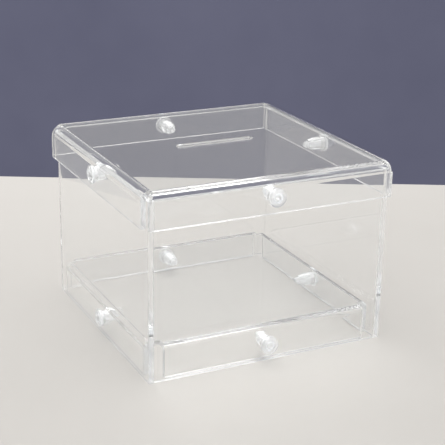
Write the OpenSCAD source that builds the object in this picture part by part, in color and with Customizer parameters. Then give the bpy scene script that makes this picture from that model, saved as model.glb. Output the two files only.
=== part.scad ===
// Clear acrylic donation box: a bent body with a cemented front panel, a folded
// lid with a coin slot, a folded false floor, and eight push rivets that hold them.
// Origin at the bottom centre, +Z up, front towards -Y.

/* [Box] */
// Width of the body outside its side walls
body_w = 152; // [110:1:240]
// Depth of the body outside its front and back walls
body_d = 152; // [110:1:240]
// Height from the table to the top of the lid
total_h = 112.5; // [85:0.5:200]
// Thickness of the acrylic sheet
sheet_t = 3; // [2.4:0.1:3.6]
// Inside radius of the two rear upright bends
rear_bend_r = 2; // [1:0.5:6]

/* [Lid] */
// Clearance between the body and the lid's skirt, all round
lid_gap = 0.3; // [0.2:0.1:1]
// Height of the lid's skirt, from the lid's top to its lower edge
lid_skirt_h = 21; // [18:0.5:28]
// Inside radius of the heat-bent edges of the lid
lid_bend_r = 3.4; // [2:0.2:6]
// Gap between the ends of the side flanges and the front and back flanges
lid_corner_gap = 3; // [1:0.5:5]
// Length of the coin slot
slot_l = 51; // [30:1:80]
// Width of the coin slot
slot_w = 5; // [3:0.5:12]
// Clearance between the walls' top edges and the lid's bends
lid_seat_gap = 0.2; // [0.1:0.1:1]

/* [False floor] */
// Height of the false floor's upper face above the table
floor_h = 21; // [18:0.5:40]
// Clearance between the false floor and the walls, all round
floor_gap = 0.3; // [0.2:0.1:1]
// Gap under the false floor's skirt
floor_foot_gap = 0.4; // [0:0.1:2]
// Inside radius of the heat-bent edges of the false floor
floor_bend_r = 1.6; // [1:0.2:5]
// Side of the square notch at each corner of the false floor, at least as deep as its bends
floor_notch = 7.4; // [4:0.2:12]

/* [Push rivets] */
// Distance from the lid's top down to its rivets
lid_rivet_drop = 11.4; // [10.5:0.1:14]
// Height of the lower rivets above the table
base_rivet_z = 9.3; // [7:0.1:12]
// Diameter of the rivet's barrel
barrel_d = 7.8; // [6:0.2:9]
// Radial clearance of the barrel in its holes
hole_clear = 0.15; // [0.1:0.05:0.4]
// Diameter of the rivet's head
head_d = 11; // [9.5:0.5:13]
// Thickness of the rivet's head
head_t = 2; // [1.6:0.1:3]
// Length of straight barrel that stands out behind the sheets
barrel_out = 4.4; // [2:0.2:6]
// Length of the barrel's tapered nose
nose_l = 3.4; // [1:0.2:5]
// Diameter of the end of the nose
nose_d = 5.6; // [5.4:0.1:5.9]
// Diameter of the pin's shank
shank_d = 4; // [3:0.2:5]
// Radial clearance of the pin in the barrel
pin_clear = 0.08; // [0.04:0.01:0.1]
// Diameter of the pin's head
pin_head_d = 5.8; // [5:0.2:7]
// Thickness of the pin's head
pin_head_t = 1; // [0.6:0.1:1.4]
// Length of the pin that stands out beyond the nose
tip_out = 2.6; // [1:0.2:5]
// Width of the two crossed slots that part the barrel into legs
leg_slot_w = 1; // [0.6:0.1:1.4]

/* [Hidden] */
$fn = 64;
SIDES = ["front", "right", "back", "left"];

acrylic = [0.86, 0.93, 0.96, 0.35];
nylon = [0.93, 0.95, 0.96, 0.8];
spare = 1;

inner_w = body_w - 2 * sheet_t;
inner_d = body_d - 2 * sheet_t;
rear_outer_r = rear_bend_r + sheet_t;

lid_w = body_w + 2 * (lid_gap + sheet_t);
lid_d = body_d + 2 * (lid_gap + sheet_t);
lid_outer_r = lid_bend_r + sheet_t;
// The side flanges end short of the front and back ones, which reach over them.
// All four widen from where their bends start to their skirts.
lid_front_half = lid_w / 2 - sheet_t;
lid_side_half = lid_d / 2 - sheet_t - lid_corner_gap;
lid_front_top = lid_w / 2 - lid_outer_r;
lid_side_top = lid_d / 2 - lid_outer_r - sheet_t / 2;

// The walls stop where the lid's inner bend comes down to them
bend_reach = max(0, lid_bend_r - lid_gap);
bend_drop = lid_bend_r - sqrt(lid_bend_r * lid_bend_r - bend_reach * bend_reach);
body_h = total_h - sheet_t - bend_drop - lid_seat_gap;

floor_w = inner_w - 2 * floor_gap;
floor_d = inner_d - 2 * floor_gap;
floor_outer_r = floor_bend_r + sheet_t;

lid_rivet_z = total_h - lid_rivet_drop;
hole_d = barrel_d + 2 * hole_clear;
lid_grip = 2 * sheet_t + lid_gap;
base_grip = 2 * sheet_t + floor_gap;
leg_solid = 1.5;
head_round = 0.7;
pin_head_clear = 0.15;
pin_point = 1;

// Quarter ring of bent sheet along X, from its top edge to its front edge.
module bend(inner_r, length) {
    rotate([90, 0, -90])
        rotate_extrude(angle = 90)
            translate([inner_r, -length / 2])
                square([sheet_t, length]);
}

// One flange facing -Y: a bend and a straight skirt, cut to an outline seen from the front.
// reach: from the box's centre to the flange's outer face.
// top_half, skirt_half: half of the flange's width at the bend's start and along the skirt.
module flange(reach, top_z, skirt_h, inner_r, top_half, skirt_half) {
    outer_r = inner_r + sheet_t;
    outline = [
        [-top_half, top_z], [top_half, top_z],
        [skirt_half, top_z - outer_r], [skirt_half, top_z - skirt_h],
        [-skirt_half, top_z - skirt_h], [-skirt_half, top_z - outer_r]
    ];
    intersection() {
        union() {
            translate([0, outer_r - reach, top_z - outer_r])
                bend(inner_r, 2 * skirt_half + spare);
            translate([-skirt_half - spare / 2, -reach, top_z - skirt_h])
                cube([2 * skirt_half + spare, sheet_t, skirt_h - outer_r]);
        }
        translate([0, outer_r - reach, 0])
            rotate([90, 0, 0])
                linear_extrude(outer_r + spare)
                    polygon(outline);
    }
}

// Row of four holes, one through the middle of each side, from reach_x or reach_y inwards.
module side_holes(reach_x, reach_y, z) {
    depth = 4 * sheet_t;
    for (turn = [0, 180]) rotate([0, 0, turn]) {
        translate([0, -reach_y - spare, z])
            rotate([-90, 0, 0]) cylinder(d = hole_d, h = depth);
        translate([-reach_x - spare, 0, z])
            rotate([0, 90, 0]) cylinder(d = hole_d, h = depth);
    }
}

// A flat plate with a flange bent down along each of its four sides.
// front_top, side_top: half width of the flanges where their bends start.
module folded_tray(w, d, top_z, skirt_h, inner_r, front_top, side_top, front_half, side_half) {
    outer_r = inner_r + sheet_t;
    plate_w = w - 2 * outer_r;
    plate_d = d - 2 * outer_r;
    translate([-plate_w / 2, -plate_d / 2, top_z - sheet_t])
        cube([plate_w, plate_d, sheet_t]);
    for (turn = [0, 180]) rotate([0, 0, turn])
        flange(d / 2, top_z, skirt_h, inner_r, front_top, front_half);
    for (turn = [90, 270]) rotate([0, 0, turn])
        flange(w / 2, top_z, skirt_h, inner_r, side_top, side_half);
}

// One sheet bent round the left, back and right sides, open to the front.
module body_wrap() {
    color(acrylic) difference() {
        union() {
            for (side = [-1, 1])
                translate([side * (body_w - sheet_t) / 2 - sheet_t / 2, -body_d / 2, 0])
                    cube([sheet_t, body_d - rear_outer_r, body_h]);
            translate([rear_outer_r - body_w / 2, body_d / 2 - sheet_t, 0])
                cube([body_w - 2 * rear_outer_r, sheet_t, body_h]);
            for (side = [0, 1])
                mirror([side, 0, 0])
                    translate([body_w / 2 - rear_outer_r, body_d / 2 - rear_outer_r, 0])
                        rotate_extrude(angle = 90)
                            translate([rear_bend_r, 0]) square([sheet_t, body_h]);
        }
        side_holes(body_w / 2, body_d / 2, lid_rivet_z);
        side_holes(body_w / 2, body_d / 2, base_rivet_z);
    }
}

// Flat panel cemented between the front ends of the side walls.
module front_panel() {
    color(acrylic) difference() {
        translate([-inner_w / 2, -body_d / 2, 0])
            cube([inner_w, sheet_t, body_h]);
        side_holes(body_w / 2, body_d / 2, lid_rivet_z);
        side_holes(body_w / 2, body_d / 2, base_rivet_z);
    }
}

// Long hole with round ends through the middle of the lid.
module coin_slot() {
    straight = slot_l - slot_w;
    translate([0, 0, total_h - sheet_t - spare]) {
        translate([-straight / 2, -slot_w / 2, 0])
            cube([straight, slot_w, sheet_t + 2 * spare]);
        for (end = [-1, 1])
            translate([end * straight / 2, 0, 0])
                cylinder(d = slot_w, h = sheet_t + 2 * spare);
    }
}

module lid() {
    color(acrylic) difference() {
        folded_tray(lid_w, lid_d, total_h, lid_skirt_h, lid_bend_r,
            lid_front_top, lid_side_top, lid_front_half, lid_side_half);
        coin_slot();
        side_holes(lid_w / 2, lid_d / 2, lid_rivet_z);
    }
}

// False floor with a square notch at each corner, so that its flanges can be folded down.
module floor_tray() {
    notch = max(floor_notch, floor_outer_r);
    front_half = floor_w / 2 - notch;
    side_half = floor_d / 2 - notch;
    color(acrylic) difference() {
        folded_tray(floor_w, floor_d, floor_h, floor_h - floor_foot_gap, floor_bend_r,
            front_half, side_half, front_half, side_half);
        for (x = [-1, 1], y = [-1, 1])
            translate([x * floor_w / 2, y * floor_d / 2, floor_h / 2])
                cube([2 * notch, 2 * notch, floor_h + 2 * spare], center = true);
        side_holes(floor_w / 2, floor_d / 2, base_rivet_z);
    }
}

// Rivet bush along +Z: its head stands on z = 0 and its barrel goes down through the sheets.
module bush(grip) {
    barrel_l = grip + barrel_out + nose_l;
    difference() {
        rotate_extrude()
            polygon([
                [0, -barrel_l], [nose_d / 2, -barrel_l],
                [barrel_d / 2, -barrel_l + nose_l], [barrel_d / 2, 0],
                [head_d / 2, 0], [head_d / 2, head_t - head_round],
                [head_d / 2 - 2 * head_round, head_t], [0, head_t]
            ]);
        translate([0, 0, -barrel_l - spare])
            cylinder(d = shank_d + 2 * pin_clear, h = barrel_l + head_t + 2 * spare);
        translate([0, 0, head_t - pin_head_t])
            cylinder(d = pin_head_d + 2 * pin_head_clear, h = pin_head_t + spare);
        for (turn = [45, 135])
            rotate([0, 0, turn])
                translate([-barrel_d / 2 - spare, -leg_slot_w / 2, -barrel_l - spare])
                    cube([barrel_d + 2 * spare, leg_slot_w, barrel_l + spare - leg_solid]);
    }
}

// Rivet pin along +Z: a flat head let into the bush, a shank and a blunt point.
module pin(grip) {
    pin_l = grip + barrel_out + nose_l + tip_out;
    rotate_extrude()
        polygon([
            [0, -pin_l], [shank_d / 2 - pin_point / 2, -pin_l],
            [shank_d / 2, -pin_l + pin_point], [shank_d / 2, head_t - pin_head_t],
            [pin_head_d / 2, head_t - pin_head_t], [pin_head_d / 2, head_t], [0, head_t]
        ]);
}

// Puts a rivet piece on one of the four sides, with +Z of the piece pointing outwards.
module on_side(side, reach_x, reach_y, z) {
    turn = 90 * search([side], SIDES)[0];
    reach = (side == "front" || side == "back") ? reach_y : reach_x;
    rotate([0, 0, turn])
        translate([0, -reach, z])
            rotate([90, 0, 0])
                children();
}

module lid_place(side) {
    on_side(side, lid_w / 2, lid_d / 2, lid_rivet_z) children();
}

module base_place(side) {
    on_side(side, body_w / 2, body_d / 2, base_rivet_z) children();
}

body_wrap();
front_panel();
lid();
floor_tray();
for (side = SIDES) {
    lid_place(side) color(nylon) bush(lid_grip);
    lid_place(side) color(nylon) pin(lid_grip);
    base_place(side) color(nylon) bush(base_grip);
    base_place(side) color(nylon) pin(base_grip);
}
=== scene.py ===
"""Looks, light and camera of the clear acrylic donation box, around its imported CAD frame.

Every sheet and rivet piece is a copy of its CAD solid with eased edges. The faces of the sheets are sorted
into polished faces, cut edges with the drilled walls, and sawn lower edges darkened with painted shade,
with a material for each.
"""

import math

import bmesh
import bpy
from mathutils import Matrix, Vector
from mathutils.bvhtree import BVHTree


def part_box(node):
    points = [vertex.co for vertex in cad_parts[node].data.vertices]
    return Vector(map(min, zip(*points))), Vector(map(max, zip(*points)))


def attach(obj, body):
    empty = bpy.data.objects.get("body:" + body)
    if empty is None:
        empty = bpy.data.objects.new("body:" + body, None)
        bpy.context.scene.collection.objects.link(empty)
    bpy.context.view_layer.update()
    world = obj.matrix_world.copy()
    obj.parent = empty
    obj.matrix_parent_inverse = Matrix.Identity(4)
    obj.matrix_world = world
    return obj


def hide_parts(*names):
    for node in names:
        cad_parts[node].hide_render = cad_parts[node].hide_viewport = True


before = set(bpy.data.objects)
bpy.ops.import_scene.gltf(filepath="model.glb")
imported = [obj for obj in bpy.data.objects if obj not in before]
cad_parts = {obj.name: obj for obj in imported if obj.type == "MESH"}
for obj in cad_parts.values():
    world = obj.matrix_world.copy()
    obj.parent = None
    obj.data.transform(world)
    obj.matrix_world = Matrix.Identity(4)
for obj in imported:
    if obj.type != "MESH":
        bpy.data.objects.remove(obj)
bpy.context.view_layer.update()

MM = 0.001
SIDES = {
    "front": Vector((0, -1, 0)),
    "right": Vector((1, 0, 0)),
    "back": Vector((0, 1, 0)),
    "left": Vector((-1, 0, 0)),
}
ROWS = ("lid", "base")

# Sheets and rivets
SHEET_T = 3.0 * MM
SHEET_EASE = 0.22 * MM
RIVET_EASE = 0.12 * MM
EASE_STEPS = 2
HAIR_GAP = 0.04 * MM
ACRYLIC_IOR = 1.49
RIVET_IOR = 1.5

# How a CAD mesh is cleaned, and how its faces are told apart
JOIN_DISTANCE = 0.002 * MM
FLAT_ANGLE = math.radians(0.3)
SHARP_ANGLE = math.radians(35)
SHADE_ANGLE = math.radians(50)
FLAT_FACE_WEIGHT = 100
RAY_START = 0.01 * MM
THICKNESS_REACH = 1.12
FOOT_HEIGHT = 0.1 * MM
POLISHED, CUT, SAWN_SHADED = 0, 1, 2

# Camera
CAMERA_PLACE = Vector((-304.7, -621.5, 310.0)) * MM
CAMERA_YAW = math.radians(26.57)
CAMERA_PITCH = math.radians(19.85)
CAMERA_ROLL = math.radians(1.13)
CAMERA_LENS = 95.6
CAMERA_SENSOR = 36
CAMERA_NEAR = 0.01
LEVEL_AWAY = Vector((math.sin(CAMERA_YAW), math.cos(CAMERA_YAW), 0))
LEVEL_RIGHT = Vector((math.cos(CAMERA_YAW), -math.sin(CAMERA_YAW), 0))

# Table and backdrop
TABLE_HALF = 0.274
TABLE_THICK = 0.03
TABLE_GAP = 2 * HAIR_GAP
TABLE_EASE = 2 * MM
TABLE_EASE_STEPS = 3
BACKDROP_AWAY = 1.0
BACKDROP_HALF = 0.9
BACKDROP_LOW = -0.5
BACKDROP_TOP = 0.3

# Light
ROOM_LOW = (0.67, 0.66, 0.65, 1)
ROOM_HIGH = (1.18, 1.17, 1.155, 1)
ROOM_HIGH_AT = 0.8
DIM_FROM = 0.55
DIM_TO = 0.95
DIM_STRENGTH = 0.55
LAMPS = (
    {"name": "back_box", "place": (0.12, 0.62, 0.8), "target": (0, 0.15, 0),
     "size": (0.7, 0.4), "power": 4.6, "colour": (1, 0.985, 0.965)},
    {"name": "left_box", "place": (-1.0, -0.25, 0.75), "target": (0, 0, 0.05),
     "size": (0.7, 0.9), "power": 0.7, "colour": (1, 0.98, 0.95)},
)
LIGHT_BOUNCES = 96
CLEAR_SHADOW_BOUNCES = 24


# ---------------------------------------------------------------- helpers

def new_object(name, bm):
    mesh = bpy.data.meshes.new(name)
    bm.to_mesh(mesh)
    bm.free()
    made = bpy.data.objects.new(name, mesh)
    bpy.context.scene.collection.objects.link(made)
    return made


def map_range(tree, value, known, wanted):
    """The value moved from the known range to the wanted one, and held within it."""
    node = tree.nodes.new("ShaderNodeMapRange")
    numbers = {"From Min": known[0], "From Max": known[1], "To Min": wanted[0], "To Max": wanted[1]}
    for name, number in numbers.items():
        node.inputs[name].default_value = number
    tree.links.new(value, node.inputs["Value"])
    return node.outputs["Result"]


def colour_ramp(tree, value, low, high, high_at=1.0, interpolation="LINEAR"):
    """Colour that goes from low at value 0 to high at value high_at."""
    ramp = tree.nodes.new("ShaderNodeValToRGB")
    ramp.color_ramp.interpolation = interpolation
    first, last = ramp.color_ramp.elements
    first.position = 0.0
    first.color = low
    last.position = high_at
    last.color = high
    tree.links.new(value, ramp.inputs[0])
    return ramp.outputs["Color"]


# ---------------------------------------------------------------- camera, table, light

def add_camera():
    """Camera at the photograph's viewing angle, looking down to the right at the box."""
    forward = Vector((
        math.sin(CAMERA_YAW) * math.cos(CAMERA_PITCH),
        math.cos(CAMERA_YAW) * math.cos(CAMERA_PITCH),
        -math.sin(CAMERA_PITCH),
    ))
    level_up = LEVEL_RIGHT.cross(forward)
    right = LEVEL_RIGHT * math.cos(CAMERA_ROLL) + level_up * math.sin(CAMERA_ROLL)
    up = level_up * math.cos(CAMERA_ROLL) - LEVEL_RIGHT * math.sin(CAMERA_ROLL)
    data = bpy.data.cameras.new("camera")
    data.lens = CAMERA_LENS
    data.sensor_width = CAMERA_SENSOR
    data.clip_start = CAMERA_NEAR
    camera = bpy.data.objects.new("camera", data)
    turn = Matrix((right, up, -forward)).transposed().to_4x4()
    camera.matrix_world = Matrix.Translation(CAMERA_PLACE) @ turn
    bpy.context.scene.collection.objects.link(camera)
    bpy.context.scene.camera = camera


def add_table():
    """Pale table top, square to the camera, a hair below the box."""
    bm = bmesh.new()
    bmesh.ops.create_cube(bm, size=1)
    bmesh.ops.scale(bm, vec=(2 * TABLE_HALF, 2 * TABLE_HALF, TABLE_THICK), verts=bm.verts)
    bmesh.ops.translate(bm, vec=(0, 0, -TABLE_THICK / 2 - TABLE_GAP), verts=bm.verts)
    bmesh.ops.rotate(bm, matrix=Matrix.Rotation(-CAMERA_YAW, 3, "Z"), verts=bm.verts)
    bmesh.ops.bevel(bm, geom=bm.edges, offset=TABLE_EASE, segments=TABLE_EASE_STEPS,
                    affect="EDGES", profile=0.5)
    table = new_object("table", bm)
    table.data.materials.append(table_material())


def add_area_light(name, place, target, size, power, colour):
    data = bpy.data.lights.new(name, "AREA")
    data.shape = "RECTANGLE"
    data.size, data.size_y = size
    data.energy = power
    data.color = colour
    light = bpy.data.objects.new(name, data)
    facing = (Vector(target) - Vector(place)).to_track_quat("-Z", "Y")
    light.matrix_world = Matrix.Translation(place) @ facing.to_matrix().to_4x4()
    bpy.context.scene.collection.objects.link(light)


def add_backdrop():
    """Slate-blue panel well behind the table, square to the camera."""
    bm = bmesh.new()
    outline = (
        (-1, BACKDROP_LOW),
        (1, BACKDROP_LOW),
        (1, BACKDROP_TOP),
        (-1, BACKDROP_TOP),
    )
    corners = []
    for side, height in outline:
        level = LEVEL_AWAY * BACKDROP_AWAY + LEVEL_RIGHT * side * BACKDROP_HALF
        corners.append(bm.verts.new(level + Vector((0, 0, height))))
    bm.faces.new(corners)
    backdrop = new_object("backdrop", bm)
    backdrop.data.materials.append(backdrop_material())


def add_room():
    """A pale, softly lit room, brighter overhead and dimmer behind the box."""
    world = bpy.data.worlds.new("studio")
    world.use_nodes = True
    bpy.context.scene.world = world
    tree = world.node_tree
    place = tree.nodes.new("ShaderNodeTexCoord").outputs["Generated"]
    split = tree.nodes.new("ShaderNodeSeparateXYZ")
    tree.links.new(place, split.inputs[0])
    colour = colour_ramp(tree, split.outputs["Z"], ROOM_LOW, ROOM_HIGH, ROOM_HIGH_AT, "EASE")
    behind = tree.nodes.new("ShaderNodeVectorMath")
    behind.operation = "DOT_PRODUCT"
    behind.inputs[1].default_value = LEVEL_AWAY
    tree.links.new(place, behind.inputs[0])
    strength = map_range(tree, behind.outputs["Value"], (DIM_FROM, DIM_TO), (1.0, DIM_STRENGTH))
    back = tree.nodes["Background"]
    tree.links.new(colour, back.inputs["Color"])
    tree.links.new(strength, back.inputs["Strength"])


# ---------------------------------------------------------------- materials

class Shader:
    """A node material with short calls for what the materials below share."""

    def __init__(self, name):
        self.material = bpy.data.materials.new(name)
        self.material.use_nodes = True
        self.tree = self.material.node_tree
        self.nodes = self.tree.nodes
        self.links = self.tree.links
        self.main = self.nodes["Principled BSDF"]
        self.place = self.nodes.new("ShaderNodeTexCoord").outputs["Object"]

    def set(self, values):
        for name, value in values.items():
            self.main.inputs[name].default_value = value

    def drive(self, name, value):
        self.links.new(value, self.main.inputs[name])

    def noise(self, scale, detail, rough, stretch=(1, 1, 1)):
        spread = self.nodes.new("ShaderNodeMapping")
        spread.inputs["Scale"].default_value = stretch
        self.links.new(self.place, spread.inputs["Vector"])
        noise = self.nodes.new("ShaderNodeTexNoise")
        noise.inputs["Scale"].default_value = scale
        noise.inputs["Detail"].default_value = detail
        noise.inputs["Roughness"].default_value = rough
        self.links.new(spread.outputs[0], noise.inputs["Vector"])
        return noise.outputs["Fac"]

    def remap(self, value, known, wanted):
        return map_range(self.tree, value, known, wanted)

    def add(self, first, second):
        total = self.nodes.new("ShaderNodeMath")
        self.links.new(first, total.inputs[0])
        self.links.new(second, total.inputs[1])
        return total.outputs[0]

    def bump(self, height, distance, strength):
        bump = self.nodes.new("ShaderNodeBump")
        bump.inputs["Distance"].default_value = distance
        bump.inputs["Strength"].default_value = strength
        self.links.new(height, bump.inputs["Height"])
        self.links.new(bump.outputs[0], self.main.inputs["Normal"])

    def let_lamps_through(self, tint):
        """Clear plastic throws only a faint shadow, so lamps see a nearly clear stand-in."""
        path = self.nodes.new("ShaderNodeLightPath")
        clear = self.nodes.new("ShaderNodeBsdfTransparent")
        clear.inputs["Color"].default_value = tint
        mix = self.nodes.new("ShaderNodeMixShader")
        self.links.new(path.outputs["Is Shadow Ray"], mix.inputs["Fac"])
        self.links.new(self.main.outputs[0], mix.inputs[1])
        self.links.new(clear.outputs[0], mix.inputs[2])
        self.links.new(mix.outputs[0], self.nodes["Material Output"].inputs["Surface"])


def sheet_material(name, smudge):
    """Polished acrylic: a touch of waviness, wiping marks and a few finger smudges."""
    look = Shader(name)
    look.set({"Base Color": (0.993, 0.996, 0.997, 1), "Transmission Weight": 1.0, "IOR": ACRYLIC_IOR})
    wipes = look.noise(scale=900, detail=3, rough=0.6, stretch=(1, 0.06, 0.2))
    smudges = look.noise(scale=38, detail=4, rough=0.62)
    wiped = look.remap(wipes, (0.55, 0.9), (0.0, 0.02))
    fingered = look.remap(smudges, (0.66, 0.9), (0.0, smudge))
    look.drive("Roughness", look.add(wiped, fingered))
    look.bump(look.noise(scale=9, detail=1, rough=0.4), distance=0.02 * MM, strength=0.3)
    look.let_lamps_through((0.975, 0.978, 0.98, 1))
    return look.material


def cut_material(name):
    """Sawn, scraped and flame-polished edge: glassy, with faint tooth marks and ripples."""
    look = Shader(name)
    look.set({"Base Color": (0.98, 0.992, 1.0, 1), "Transmission Weight": 0.84, "IOR": ACRYLIC_IOR})
    tooth = look.noise(scale=1500, detail=2, rough=0.5)
    ripple = look.noise(scale=170, detail=1, rough=0.4)
    look.drive("Roughness", look.remap(tooth, (0.3, 0.7), (0.04, 0.12)))
    look.bump(look.add(tooth, look.add(ripple, ripple)), distance=0.02 * MM, strength=0.35)
    look.let_lamps_through((0.95, 0.96, 0.965, 1))
    return look.material


def sawn_painted_shade_material(name):
    """Lower edge left as the saw cut it: frosted, with coarse tooth marks, and a dark grey base colour
    that paints shade onto the lower edges.
    """
    look = Shader(name)
    # The dark grey base colour is painted shade that keeps the lower edges dim.
    look.set({"Base Color": (0.22, 0.22, 0.22, 1), "Transmission Weight": 0.55, "IOR": ACRYLIC_IOR})
    tooth = look.noise(scale=900, detail=2, rough=0.5)
    look.drive("Roughness", look.remap(tooth, (0.3, 0.7), (0.25, 0.4)))
    look.bump(tooth, distance=0.04 * MM, strength=0.4)
    look.let_lamps_through((0.9, 0.91, 0.915, 1))
    return look.material


def rivet_material(name, rough, clear):
    """Moulded clear plastic, a little milky, with a fine mould texture."""
    look = Shader(name)
    look.set({"Base Color": (0.985, 0.99, 0.995, 1), "Transmission Weight": clear, "IOR": RIVET_IOR})
    grain = look.noise(scale=1100, detail=3, rough=0.55)
    look.drive("Roughness", look.remap(grain, (0.3, 0.7), (rough * 0.7, rough * 1.3)))
    waves = look.noise(scale=260, detail=2, rough=0.5)
    look.bump(look.add(grain, waves), distance=0.02 * MM, strength=0.3)
    look.let_lamps_through((0.94, 0.945, 0.95, 1))
    return look.material


def backdrop_material():
    look = Shader("slate_backdrop")
    look.set({"Roughness": 0.9, "Specular IOR Level": 0.1})
    clouds = look.noise(scale=3, detail=4, rough=0.6)
    colour = colour_ramp(look.tree, clouds, (0.10, 0.105, 0.165, 1), (0.17, 0.175, 0.25, 1))
    look.drive("Base Color", colour)
    return look.material


def table_material():
    look = Shader("pale_table")
    look.set({"Roughness": 0.62, "Specular IOR Level": 0.25})
    clouds = look.noise(scale=9, detail=3, rough=0.5)
    colour = colour_ramp(look.tree, clouds, (0.495, 0.48, 0.46, 1), (0.53, 0.515, 0.495, 1))
    look.drive("Base Color", colour)
    look.bump(look.noise(scale=700, detail=2, rough=0.5), distance=0.03 * MM, strength=0.3)
    return look.material


# ---------------------------------------------------------------- pieces

def cad_copy(node):
    """The CAD node's shape as a clean mesh: joined corners and flat faces in one piece each."""
    bm = bmesh.new()
    bm.from_mesh(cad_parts[node].data)
    bmesh.ops.remove_doubles(bm, verts=bm.verts, dist=JOIN_DISTANCE)
    bmesh.ops.dissolve_limit(bm, angle_limit=FLAT_ANGLE, verts=bm.verts, edges=bm.edges)
    return bm


def ease_edges(bm, width):
    """Rounds off every sharp edge, as scraping or flame polishing does."""
    sharp = [edge for edge in bm.edges if edge.is_manifold and edge.calc_face_angle() > SHARP_ANGLE]
    bmesh.ops.bevel(bm, geom=sharp, offset=width, segments=EASE_STEPS, profile=0.5,
                    affect="EDGES", clamp_overlap=True)


def triangle_area(loops):
    a, b, c = (loop.vert.co for loop in loops)
    return (b - a).cross(c - a).length / 2


def largest_triangles(bm):
    """The largest triangle of each face, as its three loops."""
    largest = {}
    for loops in bm.calc_loop_triangles():
        face = loops[0].face
        if face not in largest or triangle_area(loops) > triangle_area(largest[face]):
            largest[face] = loops
    return largest


def sort_faces(bm, thickness):
    """Marks faces with the sheet's thickness behind them polished, lower edges sawn (painted shade) and
    the rest cut.
    """
    tree = BVHTree.FromBMesh(bm)
    lowest = min(vert.co.z for vert in bm.verts)
    for face, loops in largest_triangles(bm).items():
        middle = sum((loop.vert.co for loop in loops), Vector()) / 3
        inward = -face.normal
        distance = tree.ray_cast(middle + inward * RAY_START, inward)[3]
        if distance is not None and distance < THICKNESS_REACH * thickness:
            face.material_index = POLISHED
        elif middle.z < lowest + FOOT_HEIGHT:
            face.material_index = SAWN_SHADED
        else:
            face.material_index = CUT


def finish_piece(name, bm, materials, node, body):
    for face in bm.faces:
        face.smooth = True
    piece = new_object(name, bm)
    for material in materials:
        piece.data.materials.append(material)
    piece.data.set_sharp_from_angle(angle=SHADE_ANGLE)
    weighted = piece.modifiers.new("flat faces stay flat", "WEIGHTED_NORMAL")
    weighted.weight = FLAT_FACE_WEIGHT
    weighted.keep_sharp = True
    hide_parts(node)
    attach(piece, body)


def add_sheet(node, materials):
    bm = cad_copy(node)
    sort_faces(bm, SHEET_T)
    ease_edges(bm, SHEET_EASE)
    if node == "front_panel":
        # Its cemented ends stay a hair short of the side walls: two faces in one place render badly.
        squeeze = 1 - HAIR_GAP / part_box(node)[1].x
        bmesh.ops.scale(bm, vec=(squeeze, 1, 1), verts=bm.verts)
    finish_piece(node + "_sheet", bm, materials, node, "box")


def add_rivet_piece(row, side, part, materials):
    """One bush or pin, lifted a hair off what it sits on, all but its outermost face."""
    node = f"{row}_{side}_{part}"
    outward = SIDES[side]
    bm = cad_copy(node)
    top = max(vert.co.dot(outward) for vert in bm.verts)
    for vert in bm.verts:
        vert.co += outward * min(HAIR_GAP, top - vert.co.dot(outward))
    ease_edges(bm, RIVET_EASE)
    finish_piece(node + "_moulding", bm, materials, node, node)


def set_view():
    """Plain colours, and enough bounces for light to cross all the sheets."""
    scene = bpy.context.scene
    scene.view_settings.view_transform = "Standard"
    scene.cycles.max_bounces = LIGHT_BOUNCES
    scene.cycles.transmission_bounces = LIGHT_BOUNCES
    scene.cycles.transparent_max_bounces = CLEAR_SHADOW_BOUNCES
    scene.cycles.glossy_bounces = LIGHT_BOUNCES


add_camera()
add_room()
for lamp in LAMPS:
    add_area_light(**lamp)
add_table()
add_backdrop()

sheet = sheet_material("clear_sheet", smudge=0.05)
lid_sheet = sheet_material("clear_lid_sheet", smudge=0.07)
cut = cut_material("cut_edge")
# The lower edges' material paints shade onto them with a dark grey base colour.
sawn_shaded = sawn_painted_shade_material("sawn_lower_edge_painted_shade")
add_sheet("body_wrap", [sheet, cut, sawn_shaded])
add_sheet("front_panel", [sheet, cut, sawn_shaded])
add_sheet("lid", [lid_sheet, cut, sawn_shaded])
add_sheet("floor_tray", [sheet, cut, sawn_shaded])

bush_look = rivet_material("rivet_bush_plastic", rough=0.2, clear=0.72)
pin_look = rivet_material("rivet_pin_plastic", rough=0.16, clear=0.74)
for row in ROWS:
    for side in SIDES:
        add_rivet_piece(row, side, "bush", [bush_look])
        add_rivet_piece(row, side, "pin", [pin_look])

set_view()
